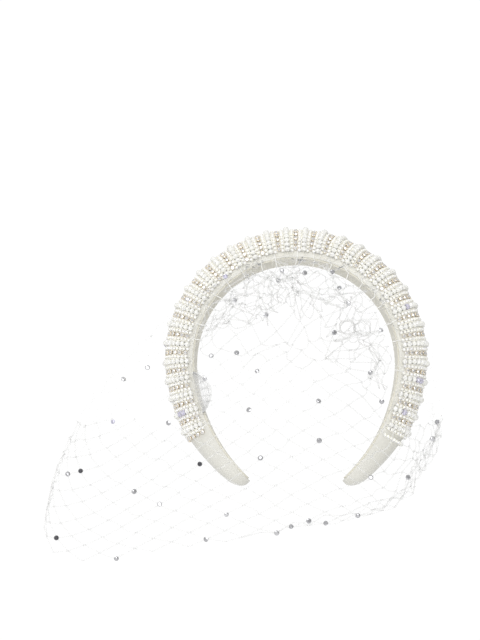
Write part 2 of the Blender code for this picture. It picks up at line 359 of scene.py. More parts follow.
class Look:
    """A Principled material under construction."""

    def __init__(self, name, color, roughness, metallic=0.0, **sockets):
        self.material = bpy.data.materials.new(name)
        self.material.use_nodes = True
        self.tree = self.material.node_tree
        self.shader = self.tree.nodes["Principled BSDF"]
        self.set("Base Color", (*color, 1.0))
        self.set("Roughness", roughness)
        self.set("Metallic", metallic)
        for key, value in sockets.items():
            self.set(key.replace("_", " "), value)

    def set(self, socket, value):
        self.shader.inputs[socket].default_value = value

    def node(self, kind, **inputs):
        made = self.tree.nodes.new(kind)
        for key, value in inputs.items():
            made.inputs[key.replace("_", " ")].default_value = value
        return made

    def link(self, source, target):
        self.tree.links.new(source, target)

    def coordinates(self, scale):
        made = self.node("ShaderNodeMapping", Scale=scale)
        source = self.node("ShaderNodeTexCoord")
        self.link(source.outputs["Object"], made.inputs["Vector"])
        return made.outputs["Vector"]

    def noise(self, scale, detail=3.0, stretch=(1, 1, 1), rough=0.5):
        made = self.node("ShaderNodeTexNoise", Scale=scale, Detail=detail, Roughness=rough)
        self.link(self.coordinates(stretch), made.inputs["Vector"])
        return made.outputs["Fac"]

    def wave(self, scale, stretch=(1, 1, 1), distortion=0.0, direction="X"):
        made = self.node("ShaderNodeTexWave", Scale=scale, Distortion=distortion)
        made.bands_direction = direction
        self.link(self.coordinates(stretch), made.inputs["Vector"])
        return made.outputs["Fac"]

    def vary_color(self, factor, low, high):
        ramp = self.node("ShaderNodeValToRGB")
        ramp.color_ramp.elements[0].color = (*low, 1.0)
        ramp.color_ramp.elements[0].position = 0.3
        ramp.color_ramp.elements[1].color = (*high, 1.0)
        ramp.color_ramp.elements[1].position = 0.7
        self.link(factor, ramp.inputs["Fac"])
        self.link(ramp.outputs["Color"], self.shader.inputs["Base Color"])

    def vary_roughness(self, factor, low, high):
        made = self.node("ShaderNodeMapRange", To_Min=low, To_Max=high)
        self.link(factor, made.inputs["Value"])
        self.link(made.outputs["Result"], self.shader.inputs["Roughness"])

    def bump(self, *layers):
        """Chain of (height, strength, distance) bumps."""
        normal = None
        for height_map, strength, distance in layers:
            made = self.node("ShaderNodeBump", Strength=strength, Distance=distance)
            self.link(height_map, made.inputs["Height"])
            if normal:
                self.link(normal, made.inputs["Normal"])
            normal = made.outputs["Normal"]
        self.link(normal, self.shader.inputs["Normal"])


def satin_look(name, low, high, roughness):
    look = Look(name, high, roughness, Sheen_Weight=0.35, Sheen_Roughness=0.35,
                Specular_IOR_Level=0.45, Anisotropic=0.35)
    look.vary_color(look.noise(55.0, 4.0), low, high)
    weft = look.wave(2600.0, (0.25, 1.0, 0.25), 0.4, "Y")
    slub = look.noise(420.0, 3.0, (0.12, 3.0, 0.12))
    crease = look.noise(40.0, 2.0, (1.0, 0.35, 1.0))
    look.vary_roughness(slub, roughness - 0.02, roughness + 0.03)
    look.bump((crease, 0.10, 0.0006), (slub, 0.006, 0.0001), (weft, 0.003, 0.00003))
    return look.material


def lining_look():
    look = Look("lining_satin", (0.62, 0.595, 0.50), 0.55, Sheen_Weight=0.3,
                Sheen_Roughness=0.4, Specular_IOR_Level=0.4)
    look.vary_color(look.noise(60.0, 3.0), (0.60, 0.575, 0.475), (0.64, 0.615, 0.52))
    ribs = look.wave(1500.0, (0.0, 1.0, 0.0), 0.3, "Y")
    grain = look.noise(900.0, 2.0, (1.0, 0.3, 1.0))
    look.vary_roughness(grain, 0.48, 0.66)
    look.bump((grain, 0.25, 0.0001), (ribs, 0.22, 0.00008))
    return look.material


def gold_look():
    look = Look("gold_cup_chain", (0.94, 0.85, 0.70), 0.26, 1.0)
    look.vary_color(look.noise(700.0, 3.0), (0.90, 0.77, 0.57), (0.98, 0.90, 0.76))
    look.vary_roughness(look.noise(1200.0, 2.0), 0.14, 0.34)
    return look.material


def stone_look(name, color, roughness=0.05):
    look = Look(name, color, roughness, 1.0, Coat_Weight=1.0, Coat_Roughness=0.02)
    look.vary_color(look.noise(900.0, 2.0), [0.72 * c for c in color], color)
    look.vary_roughness(look.noise(1500.0, 2.0), roughness, roughness + 0.07)
    return look.material


def pearl_look():
    look = Look("seed_pearl", (0.91, 0.885, 0.77), 0.24, Coat_Weight=0.6,
                Coat_Roughness=0.08, Specular_IOR_Level=0.6, Sheen_Weight=0.15,
                Subsurface_Weight=0.9, Subsurface_Radius=(0.003, 0.003, 0.0026),
                Subsurface_Scale=1.0)
    look.vary_color(look.noise(160.0, 2.0), (0.89, 0.865, 0.74), (0.94, 0.92, 0.83))
    look.vary_roughness(look.noise(900.0, 2.0), 0.16, 0.32)
    look.bump((look.noise(1400.0, 2.0), 0.12, 0.00006))
    return look.material


def crystal_look(name, color, through):
    look = Look(name, color, 0.07, Transmission_Weight=through, IOR=1.52,
                Coat_Weight=0.3, Coat_Roughness=0.03, Subsurface_Weight=0.9,
                Subsurface_Radius=(0.004, 0.004, 0.0037), Subsurface_Scale=1.0)
    look.vary_color(look.noise(240.0, 2.0), [0.93 * c for c in color], color)
    look.vary_roughness(look.noise(1100.0, 2.0), 0.03, 0.12)
    return look.material


def thread_look(name, color, scale=2600.0, opacity=1.0):
    look = Look(name, color, 0.62, Sheen_Weight=0.2, Specular_IOR_Level=0.4)
    look.vary_color(look.noise(300.0, 2.0), [0.94 * c for c in color], color)
    look.bump((look.wave(scale, (1, 1, 1), 1.0, "DIAGONAL"), 0.3, 0.00006))
    look.set("Alpha", opacity)
    return look.material


def foam_look():
    look = Look("pad_foam", (0.86, 0.84, 0.76), 0.95)
    look.vary_color(look.noise(600.0, 4.0), (0.80, 0.78, 0.70), (0.90, 0.88, 0.81))
    look.bump((look.noise(1500.0, 3.0), 0.8, 0.0003))
    return look.material


def plastic_look():
    look = Look("core_plastic", (0.80, 0.79, 0.75), 0.45)
    look.vary_color(look.noise(80.0, 2.0), (0.77, 0.76, 0.72), (0.83, 0.82, 0.78))
    look.vary_roughness(look.noise(500.0, 2.0), 0.38, 0.55)
    return look.material


SATIN = satin_look("ivory_satin", (0.585, 0.575, 0.515), (0.62, 0.61, 0.56), 0.40)
LINING = lining_look()
GOLD = gold_look()
RHINESTONE = stone_look("rhinestone", (0.84, 0.83, 0.82))
PEARLS = pearl_look()
CRYSTALS = crystal_look("clear_crystal", (0.86, 0.852, 0.79), 0.08)
LAVENDER = crystal_look("lavender_crystal", (0.72, 0.69, 0.90), 0.45)
SEWING = thread_look("sewing_thread", (0.90, 0.875, 0.78))
STAYS = thread_look("white_thread", (0.92, 0.92, 0.90))
# The net's threads are drawn thicker than real ones and mostly see-through, which looks like thin
# thread in the front picture. Threads over the band and at the net's ends are the faintest.
NET = thread_look("veil_net", (0.76, 0.76, 0.75), opacity=0.22)
NET_SOFT = thread_look("veil_soft", (0.78, 0.78, 0.77), opacity=0.15)
NET_FAINT = thread_look("veil_far", (0.84, 0.84, 0.83), opacity=0.06)
NET_FOLD = thread_look("veil_fold", (0.75, 0.75, 0.74), opacity=0.26)
NET_KNOT = thread_look("veil_knot", (0.80, 0.80, 0.79), opacity=0.22)
# The net stones' grey, near-black and light grey metal colours are painted reflection: they stand in
# for the dark surroundings mirrored in foil-backed stones, stone by stone.
STONE_PAINTED_GREY = stone_look("silver_stone_painted_grey", (0.48, 0.48, 0.50), 0.12)
STONE_PAINTED_DARK = stone_look("stone_painted_dark_reflection", (0.05, 0.05, 0.06), 0.12)
STONE_PAINTED_LIGHT = stone_look("stone_painted_light_reflection", (0.68, 0.68, 0.70), 0.12)
LILAC_STONE = stone_look("lilac_stone", (0.66, 0.64, 0.82), 0.10)
FOAM = foam_look()
PLASTIC = plastic_look()


# ---------------------------------------------------------------- band

ZONES = (("left", -BAND_RUN, -WIDEST), ("crown", -WIDEST, WIDEST), ("right", WIDEST, BAND_RUN))
TIP_SECTIONS = 14
PLEAT_PITCH = 0.0052
PLEAT_HEIGHT = 0.00007
CREASE_HEIGHT = 0.00014
BARE_FROM = 0.140  # where the beads end and the satin shows
CLOSING_RUN = 0.006  # how far before the tip the turned-under edges begin to meet
LINING_SWAY = 0.00035


def zone_runs(low, high, step, short=0.0):
    """Arc lengths of the sections from low to high, closer together at a rounded tip."""
    limit = BAND_RUN - short
    low, high = max(low, -limit), min(high, limit)
    count = max(2, round((high - low) / step))
    runs = [low + (high - low) * i / count for i in range(count + 1)]
    tip = [limit - END_ROUND * (1 - math.sin(math.pi / 2 * k / TIP_SECTIONS))
           for k in range(TIP_SECTIONS + 1)]
    if high >= limit - 1e-9 and short == 0:
        runs = [r for r in runs if r < tip[0] - step / 2] + tip
    if low <= -limit + 1e-9 and short == 0:
        runs = [-t for t in reversed(tip)] + [r for r in runs if r > -tip[0] + step / 2]
    return runs


def wrinkle(s, degrees):
    """Height of the satin's creases: fine pleats at the turned edges, broad ones between."""
    edge = math.exp(-min(degrees, 180 - degrees) / 11.0)
    drift = noise.noise(Vector((s * 60, degrees * 0.01, 3.1)))
    pleat = math.sin(2 * math.pi * s / PLEAT_PITCH + 5 * drift) * edge * PLEAT_HEIGHT
    broad = noise.noise(Vector((s * 110, degrees * 0.022, 8.7))) * CREASE_HEIGHT
    free = min(1.0, max(0.15, (abs(s) - BARE_FROM) / 0.01))
    return (pleat + broad) * free * end_scale(abs(s))


def cover_section(s):
    closed = min(1.0, max(0.0, (abs(s) - BAND_RUN + CLOSING_RUN) / (CLOSING_RUN / 2)))
    flange = (FLANGE_SHARE + (0.48 - FLANGE_SHARE) * closed) * width(s)
    angles = [180 * i / 44 for i in range(45)]
    inner_angles = [180 * i / 16 for i in range(17)]
    outer = [dome(s, a, wrinkle(s, a)) for a in angles]
    inner = [dome(s, a, -COVER_THICK * min(1.0, 0.1 + end_scale(abs(s)))) for a in inner_angles]
    top = BASE + COVER_THICK * min(1.0, 0.1 + end_scale(abs(s)))
    inner = [(y, max(n, top)) for y, n in inner]
    front, back = outer[0][0] + flange, outer[-1][0] - flange
    outline = [(front, BASE), (front - flange / 2, BASE - 0.0001)] + outer
    outline += [(back + flange / 2, BASE - 0.0001), (back, BASE), (back, top)]
    return outline + inner[::-1] + [(front, top)]


def foam_section(s):
    floor = BASE + CORE_THICK + CLEAR
    outline = [dome(s, 10 + 160 * i / 16, -COVER_THICK - CLEAR) for i in range(17)]
    outline = [(y, max(n, floor + CLEAR)) for y, n in outline]
    half = -outline[0][0] - CLEAR
    return outline + [(half, floor), (-half, floor)]


def core_section(s):
    half = CORE_SHARE * width(s)
    low, high, bevel = BASE, BASE + CORE_THICK, 0.0004
    return [(-half, low + bevel), (-half + bevel, low), (half - bevel, low), (half, low + bevel),
            (half, high - bevel), (half - bevel, high), (-half + bevel, high),
            (-half, high - bevel)]


def lining_section(s):
    sway = noise.noise(Vector((s * 45, 0.4, 1.7))) * LINING_SWAY
    half = LINING_SHARE * width(s)
    outline = [(sway - half + 2 * half * i / 12, LINING_FACE) for i in range(13)]
    outline += [(half + sway + LINING_EDGE, LINING_THICK * 0.5), (half + sway, LINING_THICK)]
    outline += [(-half + sway, LINING_THICK), (-half + sway - LINING_EDGE, LINING_THICK * 0.5)]
    return outline


def band_layer(name, section, look, node, step, short=0.0):
    """One layer of the band, in a left arm, a crown and a right arm."""
    pieces = []
    for zone, low, high in ZONES:
        rings = []
        for s in zone_runs(low, high, step, short):
            rings.append([place(s, y, n) for y, n in section(s)])
        piece = loft_object(f"{name}_{zone}", rings, look)
        nodes = [f"{node}_left", f"{node}_right"] if zone == "crown" else [f"{node}_{zone}"]
        pieces.append(attach(piece, zone, nodes))
    return pieces


for pad in band_layer("satin_cover", cover_section, SATIN, "satin_cover", 0.0016):
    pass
band_layer("satin_lining", lining_section, LINING, "satin_lining", 0.0016, 0.002)
for pad in band_layer("foam_pad", foam_section, FOAM, "foam_pad", 0.004, 0.006):
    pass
band_layer("core_strip", core_section, PLASTIC, "core_strip", 0.004, 0.009)


# ---------------------------------------------------------------- rows

def row_line(q, offset, low, high):
    """Closely spaced points across the pad, from low to high degrees, offset above the cover."""
    return [on_cover(q, low + (high - low) * i / 90, offset) for i in range(91)]


def spaced(points, pitch, ends=0.0):
    """(point, tangent) pairs at an even pitch along a line and centred on it."""
    steps = [0.0]
    for a, b in zip(points, points[1:]):
        steps.append(steps[-1] + (b - a).length)
    total = steps[-1] - 2 * ends
    count = int(total / pitch)
    first = ends + (total - count * pitch) / 2
    found = []
    index = 0
    for k in range(count + 1):
        want = first + k * pitch
        while index < len(steps) - 2 and steps[index + 1] < want:
            index += 1
        share = (want - steps[index]) / (steps[index + 1] - steps[index])
        point = points[index].lerp(points[index + 1], share)
        found.append((point, (points[index + 1] - points[index]).normalized()))
    return found


def outward(point, tangent, s):
    """Unit vector off the pad at a row's point, square to the row."""
    x, z, normal_x, normal_z = station(s)
    band = Vector((normal_z, 0.0, -normal_x))
    up = band.cross(tangent)
    middle = place(s, 0.0, 0.004)
    if up.dot(point - middle) < 0:
        up.negate()
    return up.normalized()


BALL = ball(2)
CRYSTAL_SHAPE = turned([(-0.5, 0.20), (-0.17, 0.5), (0.17, 0.5), (0.5, 0.20)], 9, 0.5)


def bead_row(heap, q, size, long, shape, look, smooth, rng, special=None):
    """One strung row of beads; returns its first and last bead's centre."""
    line = row_line(q, size / 2 + 0.0002, 7.0, 173.0)
    frames = []
    centres = []
    for point, tangent in spaced(line, long * 1.02):
        up = outward(point, tangent, q)
        side = tangent.cross(up)
        spin = rng.uniform(0, 2 * math.pi)
        a = up * math.cos(spin) + side * math.sin(spin)
        b = side * math.cos(spin) - up * math.sin(spin)
        wobble = shake(rng) * 0.00008
        grow = rng.uniform(0.95, 1.04)
        centres.append(point + wobble)
        frames.append((axes_of(tangent * long, a * size * grow, b * size * grow), point + wobble))
    if special:
        chosen = [f for i, f in enumerate(frames) if i in special[0]]
        frames = [f for i, f in enumerate(frames) if i not in special[0]]
        heap.stamp(shape, chosen, special[1], smooth)
    heap.stamp(shape, frames, look, smooth)
    return centres[0], centres[-1]


def cup_shapes():
    """Cup with its prongs, link and stone, in units of the cup's diameter; Z is up."""
    sides = 14
    profile = [(0.0, 0.36), (0.04, 0.44), (0.30, 0.49), (0.40, 0.48), (0.40, 0.45), (0.26, 0.44)]
    points, groups = turned(profile, sides, 0.0)
    cup = (points[:, [2, 1, 0]] * (1, -1, 1), groups)
    prong_points = []
    prong_faces = []
    for k in range(4):
        turn = math.pi / 4 + k * math.pi / 2
        out = np.array((math.cos(turn), math.sin(turn), 0.0))
        side = np.array((-math.sin(turn), math.cos(turn), 0.0))
        up = np.array((0.0, 0.0, 1.0))
        levels = ((0.52, 0.20, 0.085), (0.50, 0.46, 0.075), (0.41, 0.575, 0.055),
                  (0.31, 0.57, 0.03))
        start = len(prong_points)
        for radius, rise, half in levels:
            for flip, lift in ((-1, 0.0), (1, 0.0), (1, -0.06), (-1, -0.06)):
                inner = out * (radius + (lift if rise < 0.5 else lift * 0.3))
                drop = up * (rise + (0.0 if rise < 0.5 else lift))
                prong_points.append(inner + side * half * flip + drop)
        for level in range(3):
            for i in range(4):
                a, b = start + level * 4 + i, start + level * 4 + (i + 1) % 4
                prong_faces.append((a, b, b + 4, a + 4))
        prong_faces.append((start + 3, start + 2, start + 1, start))
        prong_faces.append((start + 12, start + 13, start + 14, start + 15))
    prongs = (np.array(prong_points), [prong_faces])
    rings = [(0.28, 0.44, 16, 0.0), (0.43, 0.47, 16, 0.0), (0.53, 0.36, 8, 0.5), (0.60, 0.25, 8, 0.0)]
    stone_points = []
    starts = []
    for rise, radius, count, shift in rings:
        starts.append(len(stone_points))
        for i in range(count):
            turn = 2 * math.pi * (i + shift) / count
            stone_points.append((radius * math.cos(turn), radius * math.sin(turn), rise))
    quads = [(i, (i + 1) % 16, 16 + (i + 1) % 16, 16 + i) for i in range(16)]
    tris = []
    for i in range(8):
        a, b, c = 16 + 2 * i, 16 + 2 * i + 1, 16 + (2 * i + 2) % 16
        m, table, following = starts[2] + i, starts[3] + i, starts[3] + (i + 1) % 8
        ahead = starts[2] + (i + 1) % 8
        tris += [(a, b, m), (b, c, m), (c, ahead, m), (m, ahead, following), (m, following, table)]
    cap = [[starts[3] + i for i in range(8)]]
    floor = [list(range(16))[::-1]]
    stone = (np.array(stone_points), [quads, tris, cap, floor])
    return cup, prongs, stone


CUP_SHAPE, PRONG_SHAPE, STONE_SHAPE = cup_shapes()


def gold_row(number):
    """One cup-chain row across the pad, with its stones and links."""
    rng = random.Random(500 + number)
    q = FIRST_GOLD + ROW_PITCH * (number - GOLD_ROWS_LEFT)
    line = row_line(q, 0.00035, 8.5, 171.5)
    heap = Heap()
    frames = []
    centres = []
    for point, tangent in spaced(line, CUP_PITCH, 0.0004):
        up = outward(point, tangent, q)
        side = up.cross(tangent)
        tilt = rng.uniform(-0.10, 0.10)
        roll = rng.uniform(-0.10, 0.10)
        raised = (up + tangent * tilt + side * roll).normalized()
        ahead = (tangent - raised * tangent.dot(raised)).normalized()
        across = raised.cross(ahead)
        shifted = point + side * rng.uniform(-0.0001, 0.0001)
        frames.append((axes_of(ahead * CUP, across * CUP, raised * CUP), shifted))
        centres.append(shifted + raised * CUP * 0.16)
    heap.stamp(CUP_SHAPE, frames, 0, True)
    heap.stamp(PRONG_SHAPE, frames, 0, True)
    heap.stamp(STONE_SHAPE, frames, 1, False)
    for a, b in zip(centres, centres[1:]):
        run = (b - a).normalized()
        heap.add(*tube([a + run * CUP * 0.4, b - run * CUP * 0.4], 0.00028, 6), look=0)
    name = f"gold_chain_row_{number + 1:02d}"
    piece = heap.object("cup_" + name[5:], [GOLD, RHINESTONE])
    zone = "left" if q < -0.090 else "right" if q > 0.090 else "crown"
    attach(piece, zone, [name])


for row in range(GOLD_ROWS):
    gold_row(row)

PEARL_LOOK, CRYSTAL_LOOK, SEWING_LOOK, LILAC_LOOK = range(4)

# Lilac crystals: (gold row before them, which beads of the crystal row).
LILAC_BEADS = {-10: (8, 9), -14: (3, 4), 7: (3,), 11: (3, 4), 13: (2,), 9: (9,)}


def pearl_row(heap, q, rng):
    return bead_row(heap, q, PEARL, PEARL, BALL, PEARL_LOOK, True, rng)


def bead_strand(side, number):
    """Fifteen rows of beads on one thread that turns at the band's edges."""
    first = (-GOLD_ROWS_LEFT if side == "left" else 0) + GROUPS_PER_STRAND * number
    rng = random.Random(first + 90)
    heap = Heap()
    ends = []
    groups = list(range(first, first + GROUPS_PER_STRAND))
    for group in groups:
        start = FIRST_GOLD + ROW_PITCH * group
        special = (LILAC_BEADS[group], LILAC_LOOK) if group in LILAC_BEADS else None
        q = start + PEARL_OFFSETS[0]
        ends.append((q, pearl_row(heap, q, rng)))
        q = start + CRYSTAL_OFFSET
        ends.append((q, bead_row(heap, q, CRYSTAL, CRYSTAL_LONG, CRYSTAL_SHAPE, CRYSTAL_LOOK,
                                 False, rng, special)))
        q = start + PEARL_OFFSETS[1]
        ends.append((q, pearl_row(heap, q, rng)))
        for offset, rise in CORD_OFFSETS:
            heap.add(*tube(row_line(start + offset, rise, 8.0, 172.0)[::3], CORD / 2, 6),
                     look=SEWING_LOOK)
    if groups[-1] == GOLD_ROWS_LEFT - 1:
        q = FIRST_GOLD + ROW_PITCH * GOLD_ROWS_LEFT + PEARL_OFFSETS[0]
        ends.append((q, pearl_row(heap, q, rng)))
    for index in range(len(ends) - 1):
        (q_a, bead_a), (q_b, bead_b) = ends[index], ends[index + 1]
        back = index % 2 == 0
        degrees = 177.6 if back else 2.4
        pick = 1 if back else 0
        low_a, low_b = (on_cover(q, degrees, 0.0003) for q in (q_a, q_b))
        heap.add(*tube([bead_a[pick], low_a.lerp(bead_a[pick], 0.25), low_a.lerp(low_b, 0.2),
                        low_a.lerp(low_b, 0.8), low_b.lerp(bead_b[pick], 0.25), bead_b[pick]],
                       THREAD / 2, 6), look=SEWING_LOOK)
    name = f"bead_strand_{side}_{number + 1}"
    piece = heap.object("strung_" + name[5:], [PEARLS, CRYSTALS, SEWING, LAVENDER])
    outer = number == 0 if side == "left" else number == STRANDS_PER_SIDE - 1
    attach(piece, side if outer else "crown", [name])


for label in ("left", "right"):
    for strand_number in range(STRANDS_PER_SIDE):
        bead_strand(label, strand_number)


# ---------------------------------------------------------------- net

def hem_point(u):
    spans = len(HEM) - 1
    first = min(int(u * spans), spans - 1)
    t = u * spans - first
    picks = [max(0, min(spans, first + i)) for i in (-1, 0, 1, 2)]
    a, b, c, d = (Vector(HEM[i]) for i in picks)
    return b + 0.5 * t * (c - a + t * (2 * a - 5 * b + 4 * c - d + t * (3 * (b - c) + d - a)))


def veil_point(u, v):
    s = VEIL_REACH * (2 * u - 1)
    start = place(s, VEIL_EDGE_Y, VEIL_EDGE_RISE)
    hem = hem_point(u)
    middle = math.sin(math.pi * u)
    puff = VEIL_PUFF[0] + u * (VEIL_PUFF[1] - VEIL_PUFF[0])
    forward = VEIL_FORWARD_ENDS + middle * (VEIL_FORWARD - VEIL_FORWARD_ENDS)
    rise = VEIL_RISE_ENDS + middle * (VEIL_RISE - VEIL_RISE_ENDS)
    outward_step = place(s, 0.0, puff) - place(s, 0.0, 0.0)
    near = start + outward_step * math.sin(math.pi * abs(u - 0.5)) + Vector((0, -forward, 0))
    far = hem + Vector((0.0, -forward / 3, rise))
    w = 1.0 - v
    return start * w ** 3 + near * 3 * w * w * v + far * 3 * w * v * v + hem * v ** 3


COLUMNS = round(NET_LENGTH / CELL_ACROSS)
ROWS = 2 * round(NET_WIDTH / CELL_DOWN)
THREAD_SPAN = math.hypot(CELL_ACROSS, CELL_DOWN) / 2
EDGE_SHARE = 0.2
FAINT_COLUMNS = 6
VEIL_CLEAR_Z = -0.105
LINING_SEEN = 0.004
SHORT_SPAN = 0.36
BUNCHED_COLUMNS = 5
CRUMPLED_FROM = 0.45
SOFT_COLUMNS = 16
SOFT_ROWS = 28
HEM_ROLL = 0.12
HEM_TURNS = 0.8
ROLL_RADIUS = 0.0050
CRUMPLE = 0.011
CRUMPLE_SCALE = 55.0
TUCK_ROWS = 7
TUCK_DEPTH = 0.044
PLEATS = 9
PLEAT_SHIFT = 0.013
PLEAT_DEPTH = 0.003


def near(value, centre, spread):
    return math.exp(-((value - centre) / spread) ** 2)


def column_places():
    """Veil u of 2 * COLUMNS + 1 half columns, spread by length of hem and sewn edge."""
    steps = 240
    reach = [0.0]
    for i in range(steps):
        hem_step = (hem_point((i + 1) / steps) - hem_point(i / steps)).length
        edge_step = 2 * VEIL_REACH / steps
        bunched = 1.0 + 0.7 * near(i / steps, 0.78, 0.14)
        reach.append(reach[-1] + (EDGE_SHARE * edge_step + (1 - EDGE_SHARE) * hem_step) * bunched)
    return [float(np.interp(reach[-1] * k / (2 * COLUMNS), reach, np.linspace(0, 1, steps + 1)))
            for k in range(2 * COLUMNS + 1)]


def cloth(u, v):
    """Place on the draped net, whose hem rolls up behind itself towards the right."""
    start = 1.0 - HEM_ROLL * min(1.0, max(0.0, (u - 0.42) / 0.2))
    if v <= start:
        return veil_point(u, v / start)
    turn = 2 * math.pi * HEM_TURNS * (v - start) / HEM_ROLL
    radius = ROLL_RADIUS * (1.0 - 0.05 * turn)
    behind = Vector((0.0, radius * math.sin(turn), radius * (1 - math.cos(turn))))
    return veil_point(u, 1.0) + behind


def mess(u, v):
    """How crumpled the net is: most at its sewn edge and down the right arm."""
    top = math.exp(-(v / 0.51) ** 8) * min(1.0, max(0.0, (u - 0.26) / 0.10))
    right = near(u, 0.79, 0.16) * math.exp(-(v / 0.88) ** 8)
    return min(1.0, top + right)


def net_knots():
    """Knots of the net, {(column, row): place}; odd rows lie half a cell across."""
    rng = random.Random(41)
    places = column_places()
    knots = {}
    for row in range(ROWS + 1):
        v = row / ROWS
        for column in range(COLUMNS + 1 - row % 2):
            u = places[2 * column + row % 2]
            loose = mess(u, v)
            sway = noise.noise(Vector((u * 11, v * 2.6, 0.5)))
            phase = 2 * math.pi * (PLEATS * u + 0.35 * sway)
            tuck = 0.010 * sway + PLEAT_SHIFT * loose * math.sin(phase)
            moved_u = u + tuck * min(1.0, 3 * math.sin(math.pi * u))
            moved_v = v + 0.05 * loose * noise.noise(Vector((u * 17, v * 6, 2.5)))
            point = cloth(min(1.0, max(0.0, moved_u)), max(0.0, moved_v))
            fold = Vector(noise.noise_vector(point * CRUMPLE_SCALE))
            fold += Vector(noise.noise_vector(point * CRUMPLE_SCALE * 2.3)) * 0.5
            fold *= CRUMPLE * loose
            fold.y = -abs(fold.y) - PLEAT_DEPTH * loose * (1 + math.cos(phase))
            jitter = shake(rng) * (0.0009 + 0.0030 * loose)
            knots[column, row] = point + (fold + jitter) * min(1.0, v * 8)
    return knots


def tuck_knots(start):
    """Knots of the net's turned-over edge, which hangs crumpled inside the band."""
    rng = random.Random(43)
    places = column_places()
    knots = {}
    for row in range(TUCK_ROWS + 1):
        for column in range(COLUMNS + 1 - row % 2):
            u = places[2 * column + row % 2]
            reach = TUCK_DEPTH * (0.9 * near(u, 0.32, 0.12) + near(u, 0.78, 0.18)
                                  + 0.55 * near(u, 0.52, 0.09))
            depth = reach * row / TUCK_ROWS + 0.0006
            s = VEIL_REACH * (2 * u - 1)
            point = place(s, VEIL_EDGE_Y - 0.001 - 0.18 * depth, -depth)
            fold = Vector(noise.noise_vector(point * 70 + Vector((4, 9, 2)))) * 0.35 * depth
            fold.y = -abs(fold.y)
            jitter = shake(rng) * 0.13 * depth
            knots[column, start + row] = point + fold + jitter
    return knots


def net_links(first_row, last_row):
    """Pairs of knots that a thread joins."""
    links = []
    for row in range(first_row, last_row):
        for column in range(COLUMNS + 1 - row % 2):
            for step in ((0, -1) if row % 2 == 0 else (0, 1)):
                other = (column + step, row + 1)
                if 0 <= other[0] <= COLUMNS - (row + 1) % 2:
                    links.append(((column, row), other))
    return links


def relax(knots, links, rounds=24):
    """Lets the threads pull their knots towards one length, with the sewn edge held."""
    keys = list(knots)
    index = {key: i for i, key in enumerate(keys)}
    points = np.array([knots[key][:] for key in keys])
    home = points.copy()
    a = np.array([index[p] for p, _ in links])
    b = np.array([index[q] for _, q in links])
    loose = np.array([0.0 if key[1] == 0 else 0.3 if key[1] == ROWS else 1.0
                      for key in keys])[:, None]
    longest = THREAD_SPAN * np.array([1.0 + 0.5 * mess(p[0] / COLUMNS, p[1] / ROWS)
                                      for p, _ in links])[:, None]
    for _ in range(rounds):
        gap = points[b] - points[a]
        length = np.linalg.norm(gap, axis=1)[:, None]
        over = np.clip(length - longest, 0.0, None)
        under = np.clip(0.45 * THREAD_SPAN - length, 0.0, None)
        pull = gap / (length + 1e-9) * (over - under) * 0.25
        move = np.zeros_like(points)
        np.add.at(move, a, pull)
        np.add.at(move, b, -pull)
        points += (move * 0.5 + (home - points) * 0.04) * loose
    return {key: Vector(points[i]) for key, i in index.items()}


def over_band(point):
    """Whether a place on the net lies in front of the beaded pad rather than in the open."""
    reach = math.hypot(point.x, point.z + CROWN_RADIUS)
    return point.z > VEIL_CLEAR_Z and reach > CROWN_RADIUS - LINING_SEEN


PLAIN, KNOTTED, FOLDED, FAINT, SOFT = range(5)


def net_heap(knots, links):
    """Threads between the knots, slack where the cloth is crumpled, and the knots."""
    rng = random.Random(7)
    heap = Heap()
    seen = set()
    for first, second in links:
        a, b = knots[first], knots[second]
        span = (b - a).length
        tucked = first[1] >= TUCK_START
        hidden = over_band(a) and over_band(b)
        if (hidden if tucked else span < SHORT_SPAN * THREAD_SPAN):
            continue
        bunched = first[0] < BUNCHED_COLUMNS or first[0] > COLUMNS - BUNCHED_COLUMNS
        if hidden and (first[1] % 5 if bunched else (first[0] + first[1]) % 2):
            continue
        seen.update((first, second))
        crumpled = 1.0 if tucked else mess(first[0] / COLUMNS, first[1] / ROWS)
        slack = max(0.0, THREAD_SPAN * rng.uniform(0.98, 1.06) / max(span, 1e-6) - 1.0)
        bulge = min(0.26, 0.6 * math.sqrt(0.375 * slack)) * span
        loose = shake(rng) + Vector((0, 0, -0.5))
        aside = (b - a).cross(loose).cross(b - a).normalized()
        trim = min(0.2, 0.3 * KNOT / span)
        line = []
        for k in range(5):
            t = trim + (1 - 2 * trim) * k / 4
            line.append(a.lerp(b, t) + aside * bulge * math.sin(math.pi * t))
        end = first[0] < FAINT_COLUMNS or first[0] > COLUMNS - 3
        thin = over_band(a) or over_band(b) or (end and not tucked)
        soft = first[0] < SOFT_COLUMNS and first[1] < SOFT_ROWS
        look = FAINT if thin else FOLDED if crumpled > CRUMPLED_FROM else SOFT if soft else PLAIN
        heap.add(*tube(line, NET_THREAD / 2, 6), look=look)
    frames, thin_frames = [], []
    for key, point in knots.items():
        tucked = key[1] >= TUCK_START
        if key not in seen or key[0] < 2 or key[0] > COLUMNS - 3 or tucked and over_band(point):
            continue
        turn = Matrix.Rotation(rng.uniform(-0.4, 0.4), 3, Vector((0, 1, 0)))
        tight = 0.75 if tucked else 1.0
        size = Matrix.Diagonal((KNOT * 1.3, KNOT * 0.8, KNOT * 0.8)) * tight
        row = thin_frames if over_band(point) or key[0] < FAINT_COLUMNS else frames
        row.append((np.array(turn @ size), np.array(point)))
    heap.stamp(ball(1), frames, KNOTTED)
    heap.stamp(ball(1), thin_frames, FAINT)
    return heap


# Folds that curl or draw tight, each by the knots round it.
CURLS = (((21, 48), (22, 47), (21, 47), (17, 18)), ((22, 46), (23, 46), (22, 47), (18, 18)))
TIGHT_FOLDS = (((17, 18), (19, 17)), ((19, 18), (19, 20)), ((19, 20), (18, 23)))
LOOP_STRANDS = 3
CURL_RADIUS = 0.0055
GATHER_STRANDS = 13
GATHER_LOW = 0.112
GATHER_HIGH = 0.139
GATHER_REACH = 0.0095


